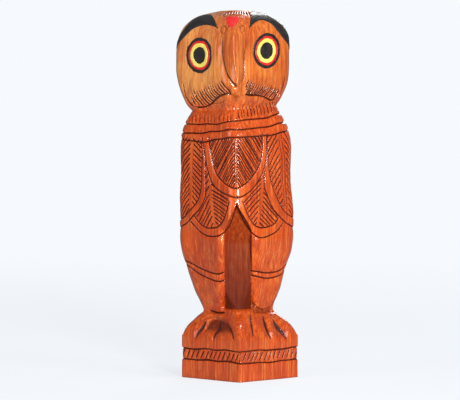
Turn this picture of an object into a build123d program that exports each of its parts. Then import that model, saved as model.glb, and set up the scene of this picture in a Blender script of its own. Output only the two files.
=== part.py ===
from build123d import *
import math
import os

# Hand-carved wooden owl on a square plinth, cut from one block that stands corner-forward.
# Origin: centre of the plinth's underside. +Z is up. The owl's face, and the plinth's front
# corner, look towards -Y. All sizes are in millimetres.

# ---- driving dimensions -------------------------------------------------------------------
total_height = 254.0
plinth_side = 57.5
plinth_height = 29.6
plinth_edge_break = 0.5
coat_thickness = 0.4

# The figure leans a little towards -X on the way up, and its crown a little back again.
foot_lean = -0.4
head_lean = -5.1
crown_lean = 2.0

# Head: a squared block with a domed crown and a drawn-in throat.
head_half_width = 39.0
head_corner_radius = 9.0
crown_start = 225.0
crown_power = 2.7
crown_flat_half_width = 7.0
throat_start = 216.0
throat_drop = 43.5
throat_shares = (0.35, 0.6, 0.8, 1.0)
crown_shares = (0.0, 0.25, 0.45, 0.62, 0.76, 0.87, 0.95)

# Neck: the notch between head and body, a little higher on the +X side.
neck_height = 187.0
neck_half_width = 28.9
neck_tilt = 3.75
neck_centre = -3.7

# Beak: a wedge on the head's front corner that narrows downwards to its tip.
# Height, centre in x, half-width, and how far the ridge stands forward of the head's axis.
beak_levels = [
    (204.0, -2.6, 2.4, 40.2),
    (222.0, -4.2, 5.8, 40.2),
    (237.0, -5.2, 8.6, 38.4),
    (251.0, -3.6, 9.5, 24.5),
]
beak_steepness = 0.62
beak_root = 12.0

# Body and legs: height, half-width, centre in x, corner radius.
body_sections = [
    (43.4, 23.6, -0.4, 6.0),
    (52.0, 25.6, -1.4, 7.0),
    (64.0, 30.2, -2.2, 8.0),
    (76.0, 33.9, -2.5, 8.0),
    (88.0, 37.8, -2.1, 8.0),
    (104.0, 39.2, -2.2, 8.0),
    (126.0, 39.1, -2.6, 8.5),
    (150.0, 38.4, -2.8, 9.0),
    (168.0, 37.3, -2.9, 9.0),
    (178.0, 33.4, -3.1, 9.0),
]

# Feet: one rounded mound that spreads from the ankles to the plinth's edges.
ankle_height = 46.4
ankle_half_width = 23.0
mound_bulge = 1.65

# Recess between the legs, cut into the front corner under the breast.
recess_left = -10.6
recess_right = 8.0
recess_floor = 48.6
recess_spring = 103.0
recess_apex_x = -2.5
recess_apex_height = 122.0
recess_arch_height = 113.0
recess_arch_pull = 0.6
recess_back = -20.0
recess_back_slope_height = 95.0
recess_back_top = -31.0

# Toe notches: two V cuts run down each front face of the mound and widen towards the plinth.
toe_notch_positions = (-1.5, 13.0)
toe_notch_slope = 53.0
toe_notch_start_height = 41.5
toe_notch_start_setback = 8.3
toe_notch_length = 14.5
toe_notch_widths = (3.0, 9.0)
toe_notch_depths = (1.0, 3.6)
toe_notch_clearance = 2.2

# Painted eyes: circles centred on each front face of the head, a little outward of its middle.
eye_outward = 2.9
eye_heights = {"left": 223.6, "right": 226.8}
pupil_radius = 5.9
iris_radius = 8.5
red_ring_radius = 10.2
eye_rim_radius = 12.5
eye_reach = 20.0

# Painted brows and forehead mark: outlines seen from the front, as (x, height).
brow_outlines = {
    "left": {
        "top": [(-43.6, 228.0), (-38.3, 238.6), (-32.1, 245.5), (-25.0, 250.3), (-19.0, 251.0)],
        "tip": (-14.9, 241.5),
        "lower": [(-25.2, 244.4), (-35.6, 238.0), (-43.6, 225.0)],
    },
    "right": {
        "top": [(33.8, 228.0), (30.6, 238.0), (25.5, 244.9), (18.0, 250.3), (10.0, 251.6)],
        "tip": (6.5, 241.8),
        "lower": [(14.5, 247.4), (27.1, 237.6), (33.8, 225.5)],
    },
}
forehead_mark = [(-9.6, 249.9), (-1.4, 250.3), (-2.4, 245.6), (-6.8, 243.1), (-9.0, 246.6)]

os.makedirs("parts", exist_ok=True)
plinth_half_diagonal = plinth_side / math.sqrt(2)
front_reach = 60.0


# ---- helpers ------------------------------------------------------------------------------
def turned_square(half_width, corner_radius):
    """Rounded square standing on its corner; half_width runs from the centre to a corner."""
    side = math.sqrt(2) * (half_width + corner_radius * (math.sqrt(2) - 1))
    RectangleRounded(side, side, corner_radius, rotation=45)


def level_plane(centre_x, height, tilt=0.0):
    """Horizontal plane at a height, tipped up towards +X by tilt degrees."""
    slope = math.radians(tilt)
    return Plane(
        origin=(centre_x, 0, height),
        x_dir=(math.cos(slope), 0, math.sin(slope)),
        z_dir=(-math.sin(slope), 0, math.cos(slope)),
    )


def front_face_plane(side, distance, centre_x, height):
    """Plane parallel to a front face of the block; side is -1 at -X and +1 at +X."""
    turn = math.radians(45) * side
    normal = Vector(math.sin(turn), -math.cos(turn), 0)
    return Plane(
        origin=Vector(centre_x, 0, height) + normal * distance,
        x_dir=(math.cos(turn), math.sin(turn), 0),
        z_dir=normal,
    )


def toe_notch_plane(side, position, along):
    """Plane across a toe notch, a distance along it from its upper end; y points out of it."""
    slope = math.radians(toe_notch_slope)
    distance = plinth_side / 2 - toe_notch_start_setback
    face = front_face_plane(side, distance, 0, toe_notch_start_height)
    downhill = face.z_dir * math.cos(slope) - Vector(0, 0, math.sin(slope))
    start = face.origin + face.x_dir * position * side
    return Plane(origin=start + downhill * along, x_dir=face.x_dir, z_dir=downhill)


def head_levels():
    """Height and half-width of each level of the head, from the neck to the crown."""
    levels = [(neck_height, neck_half_width)]
    for share in throat_shares:
        height = neck_height + (throat_start - neck_height) * share
        drop = (throat_start - height) / throat_drop
        levels.append((height, head_half_width * math.sqrt(1 - drop**2)))
    for share in crown_shares:
        height = crown_start + (total_height - crown_start) * share
        levels.append((height, head_half_width * (1 - share**crown_power) ** (1 / crown_power)))
    levels.append((total_height, crown_flat_half_width))
    return levels


def mound_levels():
    """Share of the way up, height and half-width of each level of the feet."""
    foot_width = plinth_half_diagonal - 2 * plinth_edge_break
    start = plinth_height - 2 * plinth_edge_break
    curl = (1 - (ankle_half_width / foot_width) ** mound_bulge) ** (1 / mound_bulge)
    levels = []
    for share in (0.0, 0.25, 0.5, 0.75, 1.0):
        half_width = foot_width * (1 - (share * curl) ** mound_bulge) ** (1 / mound_bulge)
        levels.append((share, start + (ankle_height - start) * share, half_width))
    return levels


def head_block(growth):
    """The head as one smooth loft, grown outwards by the thickness of a coat of paint."""
    with BuildPart() as block:
        for height, half_width in head_levels():
            rise = min(1.0, (height - neck_height) / (throat_start - neck_height) * 3)
            dome = max(0.0, (height - crown_start) / (total_height - crown_start))
            centre = neck_centre + (head_lean - neck_centre) * rise + crown_lean * dome
            tilt = neck_tilt if height == neck_height else 0.0
            with BuildSketch(level_plane(centre, height, tilt)):
                turned_square(half_width + growth, min(head_corner_radius, half_width * 0.6))
        loft()
    return block.part


# ---- solids that make up the carved block -------------------------------------------------
head = head_block(0.0)

with BuildPart() as trunk:
    for height, half_width, centre, radius in body_sections:
        with BuildSketch(level_plane(centre, height)):
            turned_square(half_width, radius)
    with BuildSketch(level_plane(neck_centre, neck_height, neck_tilt)):
        turned_square(neck_half_width, head_corner_radius)
    loft()

with BuildPart() as mound:
    for share, height, half_width in mound_levels():
        with BuildSketch(level_plane(foot_lean * share, height)):
            turned_square(half_width, 2.0 + 4.0 * share)
    loft()

with BuildPart() as beak:
    for height, centre, half_width, reach in beak_levels:
        with BuildSketch(level_plane(centre, height)):
            Polygon(
                (0, -reach),
                (half_width, -reach + half_width * beak_steepness),
                (half_width, -beak_root),
                (-half_width, -beak_root),
                (-half_width, -reach + half_width * beak_steepness),
                align=None,
            )
    loft()

# ---- cutters ------------------------------------------------------------------------------
with BuildPart() as recess:
    with BuildSketch(Plane.XZ):
        with BuildLine():
            Line((recess_left, recess_floor), (recess_right, recess_floor))
            Line((recess_right, recess_floor), (recess_right, recess_spring))
            Spline(
                (recess_right, recess_spring),
                ((recess_right + recess_apex_x) / 2 - recess_arch_pull, recess_arch_height),
                (recess_apex_x, recess_apex_height),
            )
            Spline(
                (recess_apex_x, recess_apex_height),
                ((recess_left + recess_apex_x) / 2 + recess_arch_pull, recess_arch_height),
                (recess_left, recess_spring),
            )
            Line((recess_left, recess_spring), (recess_left, recess_floor))
        make_face()
    extrude(amount=front_reach)
    with BuildSketch(Plane.YZ):
        Polygon(
            (recess_back, recess_floor),
            (recess_back, recess_back_slope_height),
            (recess_back_top, recess_apex_height),
            (-front_reach, recess_apex_height),
            (-front_reach, recess_floor),
            align=None,
        )
    extrude(amount=plinth_side, both=True, mode=Mode.INTERSECT)

with BuildPart() as toe_notches:
    for side in (-1, 1):
        for position in toe_notch_positions:
            for end in (0, 1):
                width = toe_notch_widths[end] / 2
                with BuildSketch(toe_notch_plane(side, position, toe_notch_length * end)):
                    Polygon(
                        (-width, toe_notch_clearance),
                        (width, toe_notch_clearance),
                        (0, -toe_notch_depths[end]),
                        align=None,
                    )
            loft()

# ---- carved block -------------------------------------------------------------------------
with BuildPart() as carved_body:
    with BuildSketch():
        Rectangle(plinth_side, plinth_side, rotation=45)
    extrude(amount=plinth_height)
    upright_edges = carved_body.edges().filter_by(Axis.Z)
    top_edges = carved_body.faces().sort_by(Axis.Z)[-1].edges()
    chamfer(upright_edges + top_edges, plinth_edge_break)
    add(mound.part)
    add(trunk.part)
    add(head)
    add(beak.part)
    add(recess.part, mode=Mode.SUBTRACT)
    add(toe_notches.part, mode=Mode.SUBTRACT)

carved_body.part.label = "carved_body"
export_step(carved_body.part, "parts/carved_body.step")

# ---- coats of enamel paint ----------------------------------------------------------------
# Each coat is the part of a thin shell over the carved wood that lies inside its outline.
with BuildPart() as head_shell:
    add(head_block(coat_thickness))
    add(carved_body.part, mode=Mode.SUBTRACT)


def coat_inside(outline_solid):
    """The piece of the shell of paint inside an outline."""
    with BuildPart() as coat:
        add(head_shell.part)
        add(outline_solid, mode=Mode.INTERSECT)
    return coat


def eye_coat(side_name, outer_radius, inner_radius=0.0):
    """A painted disc or ring on a front face of the head."""
    side = -1 if side_name == "left" else 1
    face = front_face_plane(side, eye_reach, head_lean, eye_heights[side_name])
    with BuildPart() as tube:
        with BuildSketch(face):
            with Locations((eye_outward * side, 0)):
                Circle(outer_radius)
                if inner_radius:
                    Circle(inner_radius, mode=Mode.SUBTRACT)
        extrude(amount=eye_reach)
    return coat_inside(tube.part)


def brow_coat(side_name):
    """A painted band over one eye, from the side of the head to a point by the beak."""
    outline = brow_outlines[side_name]
    with BuildPart() as prism:
        with BuildSketch(Plane.XZ):
            with BuildLine():
                Spline(*outline["top"])
                Line(outline["top"][-1], outline["tip"])
                Spline(outline["tip"], *outline["lower"])
                Line(outline["lower"][-1], outline["top"][0])
            make_face()
        extrude(amount=front_reach)
    return coat_inside(prism.part)


def forehead_coat():
    """The small rounded mark between the brows."""
    with BuildPart() as prism:
        with BuildSketch(Plane.XZ):
            with BuildLine():
                Spline(*forehead_mark, periodic=True)
            make_face()
        extrude(amount=front_reach)
    return coat_inside(prism.part)


coats = {"forehead_mark_paint": forehead_coat()}
for name in ("left", "right"):
    coats[f"brow_paint_{name}"] = brow_coat(name)
    coats[f"eye_rim_paint_{name}"] = eye_coat(name, eye_rim_radius, red_ring_radius)
    coats[f"red_ring_paint_{name}"] = eye_coat(name, red_ring_radius, iris_radius)
    coats[f"iris_paint_{name}"] = eye_coat(name, iris_radius, pupil_radius)
    coats[f"pupil_paint_{name}"] = eye_coat(name, pupil_radius)

for name, coat in coats.items():
    coat.part.label = name
    export_step(coat.part, f"parts/{name}.step")
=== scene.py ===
"""A hand-carved wooden owl: the sculpted wood, its enamel paint, and a plain studio."""

import math

import bpy
import numpy as np
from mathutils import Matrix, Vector
from mathutils.geometry import delaunay_2d_cdt


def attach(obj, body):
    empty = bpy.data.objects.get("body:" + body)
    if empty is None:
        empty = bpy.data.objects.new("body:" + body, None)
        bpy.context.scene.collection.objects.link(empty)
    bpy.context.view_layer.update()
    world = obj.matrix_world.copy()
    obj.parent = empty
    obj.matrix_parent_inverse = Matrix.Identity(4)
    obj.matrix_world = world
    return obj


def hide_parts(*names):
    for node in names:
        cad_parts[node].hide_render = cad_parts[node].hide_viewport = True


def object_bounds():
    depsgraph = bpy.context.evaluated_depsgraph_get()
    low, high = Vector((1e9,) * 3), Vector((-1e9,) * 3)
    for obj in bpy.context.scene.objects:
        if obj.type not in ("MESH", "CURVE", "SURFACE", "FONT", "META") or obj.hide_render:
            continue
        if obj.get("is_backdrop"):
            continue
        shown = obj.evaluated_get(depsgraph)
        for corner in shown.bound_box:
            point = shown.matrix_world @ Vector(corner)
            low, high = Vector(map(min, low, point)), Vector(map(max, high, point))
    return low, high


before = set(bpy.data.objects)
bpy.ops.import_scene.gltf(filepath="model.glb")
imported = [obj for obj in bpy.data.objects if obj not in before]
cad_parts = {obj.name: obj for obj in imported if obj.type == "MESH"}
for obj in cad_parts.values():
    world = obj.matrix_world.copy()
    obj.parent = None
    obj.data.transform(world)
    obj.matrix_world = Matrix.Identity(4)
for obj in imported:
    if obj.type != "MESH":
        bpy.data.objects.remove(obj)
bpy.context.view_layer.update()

MM = 0.001
ROOT2 = math.sqrt(2)

# The carving is laid out on the block as seen from one of its corners: (p, z), both in mm,
# where p runs sideways from that corner's upright edge and z is the height. A face of the
# block stands at 45 degrees to that view, so p is a distance along the face over root 2.


# ---- small helpers ------------------------------------------------------------------------
def curve(points, step=1.0):
    """A smooth line through a few points, as evenly spaced points."""
    p = np.array(points, float)
    p = np.vstack([2 * p[0] - p[1], p, 2 * p[-1] - p[-2]])
    out = []
    for a, b, c, d in zip(p, p[1:], p[2:], p[3:]):
        count = max(2, int(np.linalg.norm((c - b)[:2]) / step) + 1)
        t = np.linspace(0, 1, count, endpoint=False)[:, None]
        out.append(0.5 * (2 * b + (c - a) * t + (2 * a - 5 * b + 4 * c - d) * t**2
                          + (3 * b - a - 3 * c + d) * t**3))
    return np.vstack(out + [p[-2:-1]])


def distances(points):
    """How far along a line each of its points lies."""
    return np.concatenate([[0], np.cumsum(np.hypot(*np.diff(points, axis=0).T))])


def points_at(points, at, grid):
    """The points at the distances in grid along a line whose points lie at the distances at."""
    return np.stack([np.interp(grid, at, points[:, k]) for k in (0, 1)], 1)


def inside(points, outline):
    """True for each point inside a closed outline."""
    x, y = points[:, 0], points[:, 1]
    result = np.zeros(len(points), bool)
    for (x0, y0), (x1, y1) in zip(outline, np.roll(outline, -1, axis=0)):
        crosses = (y0 > y) != (y1 > y)
        with np.errstate(divide="ignore", invalid="ignore"):
            at = (x1 - x0) * (y - y0) / (y1 - y0) + x0
        result ^= crosses & (x < at)
    return result


def smoothstep(low, high, value):
    t = np.clip((value - low) / (high - low), 0, 1)
    return t * t * (3 - 2 * t)


class Ripple:
    """Smooth seeded noise in two directions, about -1 to 1."""

    def __init__(self, seed, wavelength, waves=14):
        rng = np.random.default_rng(seed)
        angle = rng.uniform(0, 2 * np.pi, waves)
        size = 2 * np.pi / (wavelength * rng.uniform(0.6, 1.8, waves))
        self.kx, self.ky = np.cos(angle) * size, np.sin(angle) * size
        self.phase = rng.uniform(0, 2 * np.pi, waves)
        self.gain = math.sqrt(2.0 / waves)

    def __call__(self, x, y):
        total = np.zeros_like(x)
        for kx, ky, phase in zip(self.kx, self.ky, self.phase):
            total += np.sin(kx * x + ky * y + phase)
        return total * self.gain * 0.7


# ---- the block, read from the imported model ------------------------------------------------
NECK_Z = 187.0
NECK_SLOPE = math.tan(math.radians(3.75))
PLINTH_TOP = 29.6
ANKLE_Z = 45.4


def neck_shear(x, z):
    """How much higher the slanting neck runs at x than on the axis."""
    return NECK_SLOPE * x * np.exp(-(((z - NECK_Z) / 14.0) ** 2))


class Block:
    """The rounded-square block that the owl is carved from, level by level."""

    def __init__(self, node):
        mesh = node.data
        mesh.calc_loop_triangles()
        co = np.empty(len(mesh.vertices) * 3)
        mesh.vertices.foreach_get("co", co)
        co = co.reshape(-1, 3) / MM
        tri = np.empty(len(mesh.loop_triangles) * 3, int)
        mesh.loop_triangles.foreach_get("vertices", tri)
        co[:, 2] -= neck_shear(co[:, 0], co[:, 2])
        corners = co[tri.reshape(-1, 3)]
        low, high = co[:, 2].min(), co[:, 2].max()
        z = np.arange(low + 0.1, high - 0.05, 0.5)
        half, centre, face = np.array([self.slice(corners, level) for level in z]).T
        half, centre, face = (self.smoothed(z, a) for a in (half, centre, face))
        self.z = np.concatenate([[low, low], z, [high, high]])
        self.face = np.concatenate([[0, face[0]], face, [face[-1] * 0.97, 0]])
        rounding = np.clip((ROOT2 * face - half) / (ROOT2 - 1), 0.4, None)
        self.rounding = np.concatenate([[0.3, rounding[0]], rounding, [rounding[-1], 0.3]])
        self.centre = np.concatenate([[centre[0]] * 2, centre, [centre[-1]] * 2])
        length = np.hypot(np.diff(self.z), np.diff(self.face))
        self.v = np.concatenate([[0], np.cumsum(np.maximum(length, 1e-6))])

    @staticmethod
    def slice(corners, z):
        """Half-width, centre and back-face distance of the section at one level."""
        below = corners[:, :, 2] < z
        cut = corners[below.any(1) & ~below.all(1)]
        points = []
        for i, j in ((0, 1), (1, 2), (2, 0)):
            a, b = cut[:, i], cut[:, j]
            use = (a[:, 2] < z) != (b[:, 2] < z)
            t = ((z - a[use, 2]) / (b[use, 2] - a[use, 2]))[:, None]
            points.append(a[use] + (b[use] - a[use]) * t)
        x, y, _ = np.vstack(points).T
        centre = (x.max() + x.min()) / 2
        back = y > 0
        return (x.max() - x.min()) / 2, centre, ((np.abs(x - centre) + y)[back] / ROOT2).max()

    @staticmethod
    def smoothed(z, values):
        """Evens out the mesh's small steps, keeping the plinth, ankle and neck edges sharp."""
        out = values.copy()
        edges = [z[0] - 1, PLINTH_TOP - 0.6, ANKLE_Z, NECK_Z, z[-1] + 1]
        for a, b in zip(edges, edges[1:]):
            part = np.flatnonzero((z >= a) & (z < b))
            padded = np.pad(values[part], 4, mode="reflect", reflect_type="odd")
            kernel = np.hanning(11)[1:-1]
            out[part] = np.convolve(padded, kernel / kernel.sum(), mode="valid")
        return out

    def v_at(self, z):
        """Distance along the block's profile at a height."""
        return np.interp(z, self.z[1:-1], self.v[1:-1])

    def side(self, v):
        """Length of one face from corner to corner, before the corners are rounded."""
        return 2 * np.interp(v, self.v, self.face)

    def place(self, s, v):
        """Points and normals of the plain block, and p, y, z measured from its leaning axis.
        s counts corners round the block: 0 is the front one, 1 is +X, -1 is -X, 2 the back."""
        side = self.side(v)
        rounding = np.minimum(np.interp(v, self.v, self.rounding), side * 0.3 + 1e-4)
        corner = np.round(s)
        along = (s - corner) * side
        turn = np.clip(along / rounding, -1, 1) * np.pi / 4
        reach = side / ROOT2
        flat = np.sign(along) * np.maximum(np.abs(along) - rounding, 0)
        out = reach - rounding * ROOT2 + rounding * np.cos(turn) - np.abs(flat) / ROOT2
        across = rounding * np.sin(turn) + flat / ROOT2
        angle = corner * np.pi / 2
        p = np.sin(angle) * out + np.cos(angle) * across
        y = -np.cos(angle) * out + np.sin(angle) * across
        z = np.interp(v, self.v, self.z)
        step = 0.6
        d_face = (np.interp(v + step, self.v, self.face) - np.interp(v - step, self.v, self.face))
        d_z = np.interp(v + step, self.v, self.z) - np.interp(v - step, self.v, self.z)
        size = np.hypot(d_face, d_z) + 1e-9
        heading = angle + turn
        normal = np.stack([np.sin(heading) * d_z, -np.cos(heading) * d_z, -d_face], 1)
        return p, y, z, normal / size[:, None]

    def axis(self, v):
        return np.interp(v, self.v, self.centre)


block = Block(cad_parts["carved_body"])


def on_block(points):
    """Design points (p, z) on the unrolled block."""
    points = np.asarray(points, float)
    return np.stack([points[:, 0] * ROOT2, block.v_at(points[:, 1])], 1)


# ---- gouge strokes and sharp lines --------------------------------------------------------
class Lines:
    """V-gouge grooves, and sharp lines of no depth, laid out on the unrolled block."""

    CELL = 5.0
    REACH = 3.0

    def __init__(self, seed, wander=0.45):
        self.a, self.b, self.width, self.depth, self.ink = [], [], [], [], []
        self.wander = wander
        self.warp_u = Ripple(seed, 26.0)
        self.warp_v = Ripple(seed + 1, 22.0)

    def add(self, points, width, depth, taper=(0.0, 0.0), ink=1.0):
        """Adds a groove along (p, z) points; taper is the length over which each end fades, and
        ink how much dark stain has gathered in it."""
        self.add_unrolled(on_block(points), width, depth, taper, ink)

    def add_unrolled(self, points, width, depth, taper=(0.0, 0.0), ink=1.0):
        at = distances(points)
        if max(taper) and len(points) < 9:
            fine = np.linspace(0, at[-1], max(9, int(at[-1] / 0.7)))
            points, at = points_at(points, at, fine), fine
        fade = np.ones(len(points))
        if taper[0]:
            fade *= np.sqrt(np.clip((at + 0.05) / taper[0], 0, 1))
        if taper[1]:
            fade *= np.sqrt(np.clip((at[-1] - at + 0.05) / taper[1], 0, 1))
        half, deep = fade * width / 2, fade * depth
        self.a.append(points[:-1])
        self.b.append(points[1:])
        self.width.append(np.stack([half[:-1], half[1:]], 1))
        self.depth.append(np.stack([deep[:-1], deep[1:]], 1))
        self.ink.append(np.full(len(points) - 1, ink))

    def sharp(self, points):
        """Adds a line of no depth, which the mesh follows."""
        self.add(points, 0.0, 0.0)

    def build(self):
        self.a, self.b = np.vstack(self.a), np.vstack(self.b)
        self.width, self.depth = np.vstack(self.width), np.vstack(self.depth)
        self.ink = np.concatenate(self.ink)
        low = np.floor((np.minimum(self.a, self.b) - self.REACH) / self.CELL).astype(int)
        high = np.floor((np.maximum(self.a, self.b) + self.REACH) / self.CELL).astype(int)
        self.cells = {}
        for k, ((x0, y0), (x1, y1)) in enumerate(zip(low, high)):
            for i in range(x0, x1 + 1):
                for j in range(y0, y1 + 1):
                    self.cells.setdefault((i, j), []).append(k)

    def warped(self, u, v):
        """Where a point falls in the layout, once the hand's unsteadiness is allowed for."""
        return u + self.wander * self.warp_u(u, v), v + self.wander * self.warp_v(u, v)

    def look(self, u, v):
        """For each point: the groove's depth there, its stain, the distance to the nearest line,
        and the move that would put the point on a nearby groove bottom or lip, with its length."""
        wu, wv = self.warped(u, v)
        depth, ink, near = np.zeros(len(u)), np.zeros(len(u)), np.full(len(u), 99.0)
        move, gap = np.zeros((len(u), 2)), np.full(len(u), 99.0)
        key = np.stack([np.floor(wu / self.CELL), np.floor(wv / self.CELL)], 1).astype(int)
        order = np.lexsort(key.T)
        ranked = key[order]
        starts = np.flatnonzero(np.any(np.diff(ranked, axis=0) != 0, axis=1)) + 1
        for group in np.split(order, starts):
            lines = self.cells.get(tuple(key[group[0]]))
            if lines is None:
                continue
            a, b = self.a[lines], self.b[lines]
            q = np.stack([wu[group], wv[group]], 1)[:, None]
            ab = b - a
            t = np.clip(((q - a) * ab).sum(2) / np.maximum((ab**2).sum(1), 1e-9), 0, 1)
            off = q - (a + ab * t[..., None])
            d = np.hypot(off[..., 0], off[..., 1])
            half = self.width[lines][:, 0] * (1 - t) + self.width[lines][:, 1] * t
            deep = self.depth[lines][:, 0] * (1 - t) + self.depth[lines][:, 1] * t
            cut = np.clip(1 - d / np.maximum(half, 1e-3), 0, 1)
            depth[group] = (deep * cut).max(1)
            ink[group] = (self.ink[lines] * np.clip(2.0 * cut, 0, 1)
                          * np.clip(half / 0.35, 0, 1)).max(1)
            beyond = np.maximum(d - half, 0)
            near[group] = beyond.min(1)
            for target in (np.zeros_like(half), half):
                miss = np.abs(d - target)
                best = miss.argmin(1)
                rows = np.arange(len(group))
                here = miss[rows, best]
                direction = off[rows, best] / np.maximum(d[rows, best], 1e-6)[:, None]
                shift = direction * (target[rows, best] - d[rows, best])[:, None]
                better = here < gap[group]
                gap[group[better]] = here[better]
                move[group[better]] = shift[better]
        return depth, ink, near, move, gap


# ---- the design of the carving ------------------------------------------------------------
rng = np.random.default_rng(20)
both, front, rear = Lines(3), Lines(5), Lines(7)
both_edges, front_edges = Lines(3, wander=0.0), Lines(3, wander=0.0)

CHEST_GROOVES = (
    [(-43, 178.4), (-22, 177.0), (0, 178.9), (18, 179.9), (43, 182.4)],
    [(-43, 171.4), (-29, 170.1), (-8, 172.7), (8, 173.1), (29, 175.0), (43, 178.0)],
    [(-43, 165.8), (-24, 164.3), (-6, 167.4), (15, 167.9), (28, 168.8), (43, 172.4)],
)
BREAST_INNER = [(-18.2, 167), (-17, 153.5), (-13.5, 142), (-6, 134.6), (0.8, 132.8),
                (8, 137.5), (15, 147), (17.8, 157), (18.8, 169)]
BREAST_OUTER = [(-23, 167), (-21.4, 151.7), (-17, 137.5), (-9.5, 129.4), (0.3, 126.5),
                (8.5, 129.8), (16.3, 139.7), (20.4, 152.5), (21.6, 169)]
WING_INNER = {
    -1: [(-24, 165), (-23.8, 145), (-24.3, 133.5), (-27.5, 122.5), (-32.5, 115), (-38, 110.6),
         (-43, 109.3)],
    1: [(22, 169), (22, 152), (23.3, 141), (26, 130), (30, 120.3), (35, 114.2), (43, 110.4)],
}
WING_OUTER = {
    -1: [(-21.9, 158), (-21.2, 141), (-21.4, 129), (-24.3, 121), (-29, 113.6), (-34.5, 107.5),
         (-43, 103.3)],
    1: [(19.2, 144), (19.4, 133), (21.8, 125.5), (26, 117), (31.3, 110.2), (36.5, 106),
        (43, 102.8)],
}
THIGH_INNER = {
    -1: [(-29.3, 112.5), (-24.2, 107), (-18.5, 104.6), (-13, 106), (-8, 113.5), (-4.9, 123)],
    1: [(4.6, 124), (8.1, 114.5), (12.5, 108.3), (18.7, 105.1), (24.5, 106.6), (28.6, 111.4)],
}
THIGH_OUTER = {
    -1: [(-31.8, 108.4), (-25.8, 102.2), (-18.5, 99.0), (-12.2, 100.3), (-6.6, 105.7),
         (-2.6, 112.8), (0.3, 122.4)],
    1: [(0.3, 122.4), (3.4, 111.7), (8.7, 104.4), (14.2, 99.6), (19.3, 98.3), (25.5, 100.9),
        (31.4, 107.3)],
}
LEG_GROOVES = (
    [(-38, 82.0), (-31, 79.3), (-24.8, 76.3), (-17.9, 73.9), (-12.4, 72.9), (-8.0, 74.2)],
    [(-38, 79.2), (-33, 77.0), (-24.8, 72.0), (-16.5, 68.7), (-11, 68.0), (-8.0, 69.2)],
    [(10.3, 75.7), (15.2, 74.2), (20.7, 73.5), (29, 74.8), (38, 79.4)],
    [(10.3, 72.5), (15.2, 70.7), (20.7, 69.8), (29, 70.9), (38, 75.5)],
)

WING_RIB = {-1: [(-30.9, 164), (-31.1, 145), (-31.8, 113)],
            1: [(31, 169), (33.0, 150), (34.4, 118)]}
THIGH_RIB = {-1: [(-18.6, 140), (-17.3, 123), (-15.6, 105)],
             1: [(18.6, 140), (17.4, 124), (15.0, 105)]}
# Where the thigh feathers' outlines close, behind the feathers that overlap them.
THIGH_HIDDEN = {-1: [(-2, 132), (-14, 150), (-32, 130)], 1: [(32, 130), (14, 150), (2, 132)]}

# The barbs on each side of a rib: their angle below the horizontal, negative to the left of
# the rib, and their spacing; for the wings also the rib's shift and how far off they start.
BREAST_BARBS = ((-58, 2.9), (56, 2.75))
WING_BARBS = {-1: ((46, 3.3, 0.0, 0.7), (-54, 3.6, 0.0, 0.7)),
              1: ((54, 4.3, 0.9, 0.8), (-58, 4.5, -0.9, 0.8))}
THIGH_BARBS = {-1: ((33, 3.0), (-62, 4.4)), 1: ((50, 2.9), (-44, 3.8))}
BARB_WIDTH, BARB_DEPTH, BARB_INK = 1.25, 0.8, 0.9
BARB_REACH, BARB_STEP, BARB_SAG = 60, 0.4, 0.004


def jitter(amount):
    return rng.uniform(-amount, amount)


def outline_groove(lines, points, width, depth, taper=(0, 0)):
    lines.add(curve(points), width, depth, taper)


def barbs(lines, rib, angle, gap, region, layers=(), start_off=0.8):
    """Barb strokes that run down and outward from a rib, one side of it, inside a region and
    outside the layers that overlap it. angle is measured below the horizontal; its sign says
    which side of the rib they lie on."""
    rib = curve(rib, 0.5)

    def rib_at(z):
        return np.interp(z, rib[::-1, 1], rib[::-1, 0])

    side = np.sign(angle)
    slope = math.radians(abs(angle))
    heading = np.array([math.cos(slope) * side, -math.sin(slope)])
    reach = np.arange(0, BARB_REACH, BARB_STEP)[:, None]
    z = rib[:, 1].max() + 45
    while z > rib[:, 1].min() - 2:
        start = np.array([rib_at(z) + start_off * side, z + jitter(gap * 0.12)])
        turn = math.radians(jitter(2.0))
        along = heading @ np.array([[math.cos(turn), math.sin(turn)],
                                    [-math.sin(turn), math.cos(turn)]])
        points = start + along * reach
        points[:, 1] -= BARB_SAG * reach[:, 0] ** 2
        good = inside(points, region) & ((points[:, 0] - rib_at(points[:, 1])) * side > 0.5)
        for layer in layers:
            good &= ~inside(points, layer)
        runs = np.flatnonzero(good)
        if len(runs) > 4:
            breaks = np.flatnonzero(np.diff(runs) > 1)
            last = runs[breaks[0]] if len(breaks) else runs[-1]
            chosen = points[runs[0]:last + 2]
            if len(chosen) > 4:
                scale = 1 + jitter(0.14)
                lines.add(chosen[::3] if len(chosen) > 9 else chosen[[0, -1]],
                          BARB_WIDTH * scale, BARB_DEPTH * scale, (0.6, 0.9), BARB_INK)
        z -= gap * (1 + jitter(0.08))


def closed(points, *extra):
    return np.array(list(map(tuple, curve(points))) + list(extra))


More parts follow.
